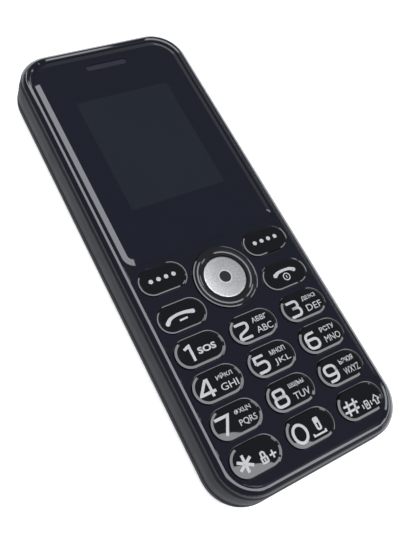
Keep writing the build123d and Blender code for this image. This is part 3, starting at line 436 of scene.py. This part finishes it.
# Keypad layers under the face: a pale silicone mat with a plunger for each key, a dark pad that
# carries the ring, and steel snap domes. A black foam gasket holds the lens.
mat_silicone = finish("mat_silicone", linear(196, 198, 202), 0.6, Subsurface_Weight=0.1)
dress(mat_silicone, "keypad_mat")
pad_rubber = finish("pad_rubber", linear(60, 60, 62), 0.6, grain=3000, depth=0.006)
dress(pad_rubber, "nav_pad")
dome_steel = finish("dome_steel", linear(198, 198, 202), 0.25, Metallic=1.0)
draw_lines(dome_steel, 7000, 0.03, 0.2, 0.34)
dress(dome_steel, "dome_sheet")
black_foam = finish("black_foam", linear(30, 30, 30), 0.85, grain=3000, depth=0.03)
dress(black_foam, "lens_adhesive")

# Front housing: one blue-black moulding, face, rim and bezel together, with a sloped edge at each key
# opening. A hard clear coat makes it shine above, and it is satin where the bezel rolls to the seam.
satin_starts, satin_full = 12.3 * mm, 11.9 * mm
gloss_rough, satin_rough = 0.06, 0.65

face_gloss = finish("face_gloss", linear(18, 20, 31), gloss_rough, drift=0.05, marks=0.03,
                    grain=900, depth=0.001, Specular_IOR_Level=0.1, Coat_IOR=1.76,
                    Coat_Roughness=0.05)
tree = face_gloss.node_tree
level = split_spot(tree)["Z"]
satin = span(tree, level, satin_full, satin_starts, satin_rough, gloss_rough)
tree.links.new(satin, tree.nodes["worn"].inputs["Roughness"])
coated = span(tree, level, satin_full, satin_starts, 0, 1)
tree.links.new(coated, tree.nodes["Principled BSDF"].inputs["Coat Weight"])
dress(face_gloss, "front_housing")

# Display lens: a polished acrylic plate with bevelled edges, printed black behind all but the window
# for the active area, where the dark panel shows a little greener and lighter.
window_half_wide, window_half_high, window_middle = 13.7 * mm, 17.25 * mm, 27.4 * mm
window_edge = 0.12 * mm
lens_black, window_colour = linear(18, 21, 33), linear(27, 31, 39)

lens_gloss = finish("lens_gloss", lens_black, 0.05, drift=0.03, marks=0.03, grain=400, depth=0.0005,
                    Specular_IOR_Level=1.0)
tree = lens_gloss.node_tree
spot = split_spot(tree)
from_middle = reckon(tree, "SUBTRACT", spot["Y"], window_middle)
inside = []
for distance, half in ((spot["X"], window_half_wide), (from_middle, window_half_high)):
    size = reckon(tree, "ABSOLUTE", distance)
    inside.append(span(tree, size, half - window_edge, half + window_edge, 1, 0))
window = reckon(tree, "MULTIPLY", *inside)
recolour(lens_gloss, blend(tree, window, lens_black, window_colour))
dress(lens_gloss, "display_lens")

# Earpiece mesh: a strip of woven steel wire behind the slot in the lens, dyed dark. Two crossed
# sets of bands give the over and under of the wires: they lift the crossings, and the crossings
# are painted lighter as a painted highlight, with painted shade between them. Bands at scale 1
# repeat every 2 pi / 20.
wire_pitch = 0.16 * mm
wire_relief = 0.04 * mm
wave_scale = 2 * pi / (20 * wire_pitch)

woven_wire = finish("woven_wire", linear(48, 48, 62), 0.5, Metallic=0.4)
tree = woven_wire.node_tree
spot = spot_on(tree)
warp, weft = (place(tree, "ShaderNodeTexWave", {"Vector": spot, "Scale": wave_scale},
                    bands_direction=way).outputs["Fac"] for way in ("X", "Y"))
# Painted highlight on the crossings and painted shade between them; the same bands lift the mesh.
weave_lift_and_painted_light = reckon(tree, "MULTIPLY", warp, weft)
recolour(woven_wire, blend(tree, weave_lift_and_painted_light, linear(28, 28, 38), linear(66, 66, 82)))
tree.links.new(weave_lift_and_painted_light, tree.nodes["bump"].inputs["Height"])
tree.nodes["bump"].inputs["Distance"].default_value = wire_relief
dress(woven_wire, "earpiece_mesh")

# Keys: sixteen domed caps in black gloss resin, with a sloped edge that catches the lamps. Each sits
# in its own opening of the face and works on a plunger of the mat.
number_keys = ["key_" + figure for figure in (*"1234567890", "star", "hash")]
function_keys = ["soft_key_left", "soft_key_right", "call_key", "end_key"]
key_gloss = finish("key_gloss", linear(12, 13, 17), 0.03, drift=0.04, marks=0.02, grain=3000,
                   depth=0.0001, Specular_IOR_Level=1.0)
dress(key_gloss, *number_keys, *function_keys)

# Legends of the number keys: cut through the black coat with a laser, so the pale resin shows flush
# with the cap. Here each is a thin film that lies on its cap. Places are from the middle of the key.
print_lift = 0.012 * mm
print_depth = 0.05 * mm
step_most = 0.4 * mm
same_place, same_cut = 1e-7, 1e-8
bend_steps, letter_steps = 5, 3
sharpest_mitre = 0.5
model_top = cad_box[1][2]

digit_line = 0.67 * mm
digit_left, digit_right, digit_low, digit_high = -4.65 * mm, -1.55 * mm, -2.05 * mm, 1.65 * mm
latin_box = (0.15 * mm, 4.7 * mm, -2.05 * mm, -0.4 * mm)
cyrillic_box = (0.05 * mm, 4.35 * mm, 0.7 * mm, 1.95 * mm)
distress_box = (-0.8 * mm, 4.0 * mm, -1.1 * mm, 0.5 * mm)
cyrillic_weight, distress_weight = 0.015, 0.035

legend_print = finish("legend_print", linear(181, 180, 183), 0.38, drift=0.04, marks=0.1, grain=5000)


def bent(points, radius):
    """The points of a line with its corners rounded and no step longer than step_most."""
    way = [Vector(points[0])]
    for before, corner, after in zip(points, points[1:], points[2:]):
        before, corner, after = Vector(before), Vector(corner), Vector(after)
        back, on = before - corner, after - corner
        cut = min(radius, back.length / 2, on.length / 2)
        start, end = corner + back.normalized() * cut, corner + on.normalized() * cut
        for k in range(bend_steps + 1):
            t = k / bend_steps
            way.append(start.lerp(corner, t).lerp(corner.lerp(end, t), t))
    way.append(Vector(points[-1]))
    fine = [way[0]]
    for a, b in zip(way, way[1:]):
        pieces = max(1, round((b - a).length / step_most + 0.5))
        if (b - a).length > same_place:
            fine += [a.lerp(b, (k + 1) / pieces) for k in range(pieces)]
    return fine


def draw(shape, points, width, radius=0.0, end_width=None):
    """A flat printed line. It swells from width in its middle to end_width at its ends."""
    way = bent(points, radius)
    closed = (way[0] - way[-1]).length < same_place
    if closed:
        way.pop()
    count = len(way)
    rails = []
    for k, here in enumerate(way):
        last = way[k - 1] if closed or k else here
        onward = way[(k + 1) % count] if closed or k < count - 1 else here
        come, go = (here - last), (onward - here)
        come = come.normalized() if come.length else go.normalized()
        go = go.normalized() if go.length else come
        run = (come + go).normalized()
        aside = Vector((-run.y, run.x)) / max(sharpest_mitre, run.dot(go))
        share = abs(2 * k / max(1, count - 1) - 1)
        half = (width + ((end_width or width) - width) * share ** 2) / 2
        rails.append([shape.verts.new((*(here + aside * half * side), 0)) for side in (-1, 1)])
    following = rails[1:] + rails[:1] if closed else rails[1:]
    for (a, b), (c, d) in zip(rails, following):
        shape.faces.new((a, c, d, b))


def stroke(shape, points, width, radius=0.0, end_width=None):
    """A printed line whose points, widths and bend radius are given in mm."""
    draw(shape, [(x * mm, y * mm) for x, y in points], width * mm, radius * mm,
         end_width and end_width * mm)


def disc(shape, x, y, radius, sides=20):
    """A filled round dot."""
    turns = [2 * pi * k / sides for k in range(sides)]
    shape.faces.new([shape.verts.new((x + radius * cos(turn), y + radius * sin(turn), 0))
                     for turn in turns])


def words(shape, text, box, weight=0.0):
    """Lettering fitted into a box given as left, right, low and high. Weight makes it bolder."""
    letters = bpy.data.curves.new("letters", "FONT")
    letters.body = text
    letters.offset = weight
    letters.resolution_u = letter_steps
    holder = bpy.data.objects.new("letters", letters)
    flat = bpy.data.meshes.new_from_object(holder)
    lows = [min(v.co[axis] for v in flat.vertices) for axis in (0, 1)]
    highs = [max(v.co[axis] for v in flat.vertices) for axis in (0, 1)]
    across = (box[1] - box[0]) / (highs[0] - lows[0])
    up = (box[3] - box[2]) / (highs[1] - lows[1])
    corners = [shape.verts.new((box[0] + (v.co.x - lows[0]) * across,
                                box[2] + (v.co.y - lows[1]) * up, 0)) for v in flat.vertices]
    for face in flat.polygons:
        shape.faces.new([corners[k] for k in face.vertices])
    bpy.data.objects.remove(holder)
    bpy.data.curves.remove(letters)
    bpy.data.meshes.remove(flat)


def grid_cut(shape):
    """Cut a flat print along and across every step_most, so that it can bend over a dome."""
    for axis in (0, 1):
        across = [corner.co[axis] for corner in shape.verts]
        cut = min(across) + step_most
        while cut < max(across):
            on_line, facing = [0, 0, 0], [0, 0, 0]
            on_line[axis], facing[axis] = cut, 1
            bmesh.ops.bisect_plane(shape, geom=shape.verts[:] + shape.edges[:] + shape.faces[:],
                                   dist=same_cut, plane_co=on_line, plane_no=facing)
            cut += step_most


def lay_on(shape, node, name, material):
    """Drop the flat print on a CAD node from above, give it depth and let it ride with the node."""
    bmesh.ops.remove_doubles(shape, verts=shape.verts, dist=same_place)
    grid_cut(shape)
    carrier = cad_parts[node].data
    cap = BVHTree.FromPolygons([v.co for v in carrier.vertices],
                               [p.vertices for p in carrier.polygons])
    low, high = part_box(node)
    middle_x, middle_y = (low[0] + high[0]) / 2, (low[1] + high[1]) / 2
    for corner in shape.verts:
        corner.co.x += middle_x
        corner.co.y += middle_y
        above = Vector((corner.co.x, corner.co.y, high[2] + mm))
        hit = cap.ray_cast(above, Vector((0, 0, -1)))
        corner.co.z = min(hit[0].z + print_lift, model_top)
    grown = bmesh.ops.extrude_face_region(shape, geom=shape.faces[:], use_keep_orig=True)["geom"]
    for corner in grown:
        if isinstance(corner, bmesh.types.BMVert):
            corner.co.z -= print_depth
    bmesh.ops.recalc_face_normals(shape, faces=shape.faces[:])
    mesh = bpy.data.meshes.new(name)
    shape.to_mesh(mesh)
    shape.free()
    mesh.materials.append(material)
    piece = bpy.data.objects.new(name, mesh)
    scene.collection.objects.link(piece)
    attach(piece, node)


def digit(shape, strokes):
    """A digit's strokes: each is a bend radius in mm, then points across 0 to 1 and up 0 to 1."""
    wide, tall = digit_right - digit_left, digit_high - digit_low
    for radius, *points in strokes:
        draw(shape, [(digit_left + x * wide, digit_low + y * tall) for x, y in points], digit_line,
             radius * mm)


zero_x, zero_y, zero_wide, zero_tall, zero_step = 0.5, 0.49, 0.54, 0.55, 15
oval = [(zero_x + zero_wide * sin(radians(a)), zero_y + zero_tall * cos(radians(a)))
        for a in range(0, 361, zero_step)]
digit_strokes = {
    "1": [(0, (0.3, 0.86), (0.66, 0.98), (0.76, 1), (0.76, 0))],
    "2": [(0.9, (-0.04, 1), (0.98, 1), (0.98, 0.56), (0.06, 0.3), (0.04, 0)),
          (0, (-0.06, 0), (1.04, 0))],
    "3": [(1.0, (0.02, 1), (0.96, 1), (0.96, 0.54), (0.34, 0.54)),
          (1.0, (0.34, 0.54), (1, 0.54), (1, 0), (0, 0))],
    "4": [(0, (1.12, 0.26), (-0.12, 0.26), (0.62, 1.02), (0.78, 1.02), (0.78, -0.04))],
    "5": [(0, (0.9, 1), (0.1, 1), (0.06, 0.56)),
          (1.3, (0.06, 0.58), (1, 0.62), (1, 0), (0, 0))],
    "6": [(1.4, (0.9, 1), (0.02, 1), (0.02, 0), (0.98, 0), (0.98, 0.6), (0.04, 0.6), (0.02, 0.3))],
    "7": [(0, (-0.1, 1), (0.98, 1), (0.28, -0.08))],
    "8": [(1.1, (0.5, 1), (0.92, 1), (0.92, 0.54), (0.08, 0.54), (0.08, 1), (0.5, 1)),
          (1.3, (0.5, 0.54), (1, 0.54), (1, 0), (0, 0), (0, 0.54), (0.5, 0.54))],
    "9": [(1.4, (0.1, 0), (0.98, 0), (0.98, 1), (0.02, 1), (0.02, 0.4), (0.96, 0.4), (0.98, 0.7))],
    "0": [(0, *oval)],
}
latin = {"2": "ABC", "3": "DEF", "4": "GHI", "5": "JKL", "6": "MNO", "7": "PQRS", "8": "TUV",
         "9": "WXYZ"}
cyrillic = {"2": "АБВГ", "3": "ДЕЖЗ", "4": "ИЙКЛ", "5": "МНОП", "6": "РСТУ", "7": "ФХЦЧ",
            "8": "ШЩЪЫ", "9": "ЬЭЮЯ"}
# the torch on the 0 key: a rounded barrel, its collar and its slot, over a low bracket
torch = [([(1.87, 1.4), (2.35, 1.4), (2.35, -1.15), (1.4, -1.15), (1.4, 1.4), (1.87, 1.4)], 0.5, 0.45),
         ([(1.3, 0.45), (2.45, 0.45)], 0.3, 0),
         ([(1.87, 1.2), (1.87, 0.6)], 0.5, 0),
         ([(-0.2, -1.6), (-0.2, -2.15), (3.1, -2.15), (3.1, -1.6)], 0.42, 0)]
for figure, strokes in digit_strokes.items():
    shape = bmesh.new()
    digit(shape, strokes)
    if figure in latin:
        words(shape, latin[figure], latin_box)
        words(shape, cyrillic[figure], cyrillic_box, weight=cyrillic_weight)
    if figure == "1":
        words(shape, "SOS", distress_box, weight=distress_weight)
    if figure == "0":
        for points, width, radius in torch:
            stroke(shape, points, width, radius)
    lay_on(shape, "key_" + figure, "legend_key_" + figure, legend_print)

# Legends of the star key, cut like the digits: a six-armed star as bold as they are, and in finer
# lines a padlock for the key lock and a plus sign.
arm, star_x, star_y = 1.95 * mm, -3.1 * mm, -0.4 * mm
lock_line = 0.4
shape = bmesh.new()
for turn in (0, 60, 120):
    side, rise = arm * sin(radians(turn)), arm * cos(radians(turn))
    draw(shape, [(star_x - side, star_y - rise), (star_x + side, star_y + rise)], digit_line)
for points, radius in (([(0.7, -0.95), (2.1, -0.95), (2.1, -2.1), (0.7, -2.1), (0.7, -0.95)], 0.1),
                       ([(0.95, -0.9), (0.95, 0.25), (1.85, 0.25), (1.85, -0.9)], 0.45),
                       ([(1.4, -1.25), (1.4, -1.85)], 0),
                       ([(2.85, -1.15), (4.6, -1.15)], 0), ([(3.72, -2.0), (3.72, -0.25)], 0)):
    stroke(shape, points, lock_line, radius)
lay_on(shape, "key_star", "legend_key_star", legend_print)

# Legends of the hash key, cut in the same way: two pairs of crossed bars, a handset between two
# short dashes for silent ringing, and an upward arrow.
bar_line, sign_line = 0.5, 0.27
shape = bmesh.new()
for points in ([(-4.3, -2.05), (-3.7, 1.4)], [(-2.5, -2.05), (-1.9, 1.4)],
               [(-5.1, 0.35), (-1.1, 0.35)], [(-5.3, -1.0), (-1.3, -1.0)]):
    stroke(shape, points, bar_line)
for points, radius in (
        ([(0.35, -0.45), (1.35, -0.45), (1.35, -2.25), (0.35, -2.25), (0.35, -0.45)], 0.2),
        ([(-0.4, -0.85), (-0.4, -1.9)], 0), ([(2.1, -0.85), (2.1, -1.9)], 0),
        ([(0.85, -0.9), (0.85, -1.75)], 0),
        ([(3.35, -2.2), (3.35, -1.2), (2.85, -1.2), (3.75, -0.05), (4.65, -1.2), (4.15, -1.2),
          (4.15, -2.2), (3.35, -2.2)], 0)):
    stroke(shape, points, sign_line, radius)
lay_on(shape, "key_hash", "legend_key_hash", legend_print)

# Legends of the function keys: four dots on each soft key, a handset with a dash for calling, and a
# handset over the power sign for ending a call.
dot_row, dot_height, dot_size = (-3.1, -1.03, 1.03, 3.1), 0.17 * mm, 0.56 * mm
for node in ("soft_key_left", "soft_key_right"):
    shape = bmesh.new()
    for x in dot_row:
        disc(shape, x * mm, dot_height, dot_size)
    lay_on(shape, node, "legend_" + node, legend_print)

grip_line, ear_line, ear_radius, handset_bend = 0.7, 1.05, 0.55, 1.0
dash_line, power_line = 0.45, 0.26
power_radius, power_height, power_step = 0.9, -0.83, 20
handset = {"call_key": [(-4.1, -0.75), (-3.2, 0.15), (-1.2, 0.6), (0.9, 0.55), (3.0, 0.05)],
           "end_key": [(-2.8, 0.3), (-1.9, 0.85), (0.0, 1.05), (1.9, 0.85), (2.8, 0.3)]}
for node, points in handset.items():
    shape = bmesh.new()
    stroke(shape, points, grip_line, handset_bend, end_width=ear_line)
    for x, y in (points[0], points[-1]):
        disc(shape, x * mm, y * mm, ear_radius * mm)
    if node == "call_key":
        stroke(shape, [(-1.1, -1.0), (1.1, -0.92)], dash_line)
    else:
        turns = [radians(a) for a in range(0, 361, power_step)]
        stroke(shape, [(power_radius * sin(turn), power_height + power_radius * cos(turn))
                       for turn in turns], power_line)
        stroke(shape, [(0, -1.15), (0, -0.45)], power_line)
    lay_on(shape, node, "legend_" + node, legend_print)

# Navigation ring: a polished black ring with a beaded crest and a sloped outer edge, moulded in the
# keys' resin. It rocks four ways on its rubber pad.
ring_gloss = finish("ring_gloss", linear(28, 28, 32), 0.06, marks=0.03, depth=0.0002,
                    Specular_IOR_Level=1.0)
dress(ring_gloss, "nav_ring")

# Centre key: a silver disc, finely blasted and then lacquered, with a slight crown that grades its
# shine. A plain round dot in dark enamel marks its middle, inside a bright turned edge.
dot_radius, edge_radius = 1.5 * mm, 1.8 * mm
crown_radius = 50 * mm
disc_low, disc_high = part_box("ok_key")
disc_centre = ((disc_low[0] + disc_high[0]) / 2, (disc_low[1] + disc_high[1]) / 2, 0)
blast_scale, blast_starts, blast_full, pit_depth = 2600, 0.35, 0.65, 0.006 * mm
blast_dark, blast_light = linear(186, 185, 186), linear(230, 229, 230)
round_sides = 48

disc_silver = finish("disc_silver", linear(214, 213, 213), 0.4, drift=0.05, marks=0.06, Metallic=0.9)
tree = disc_silver.node_tree
spot = spot_on(tree)
blasted = noise(tree, spot, blast_scale, 4, Roughness=0.7)
bright = span(tree, blasted, blast_starts, blast_full, 0, 1)
recolour(disc_silver, blend(tree, bright, blast_dark, blast_light))
out_from = place(tree, "ShaderNodeVectorMath", {0: spot, 1: disc_centre}, operation="SUBTRACT")
square = place(tree, "ShaderNodeVectorMath", {0: out_from.outputs[0], 1: out_from.outputs[0]},
               operation="DOT_PRODUCT")
crown = reckon(tree, "MULTIPLY", square.outputs["Value"], -0.5 / crown_radius)
pits = reckon(tree, "MULTIPLY_ADD", blasted, pit_depth, crown)
tree.links.new(pits, tree.nodes["bump"].inputs["Height"])
tree.nodes["bump"].inputs["Distance"].default_value = 1.0
tree.nodes["bump"].inputs["Strength"].default_value = 1.0
dress(disc_silver, "ok_key")
enamel = finish("dark_enamel", linear(36, 36, 40), 0.3, marks=0.05)
turned_edge = finish("turned_edge", linear(240, 240, 244), 0.3, Metallic=0.6)

shape = bmesh.new()
disc(shape, 0, 0, dot_radius, sides=round_sides)
lay_on(shape, "ok_key", "disc_dot", enamel)
shape = bmesh.new()
middle_line = (dot_radius + edge_radius) / 2
turns = [2 * pi * k / round_sides for k in range(round_sides + 1)]
draw(shape, [(middle_line * cos(turn), middle_line * sin(turn)) for turn in turns],
     edge_radius - dot_radius)
lay_on(shape, "ok_key", "disc_dot_edge", turned_edge)
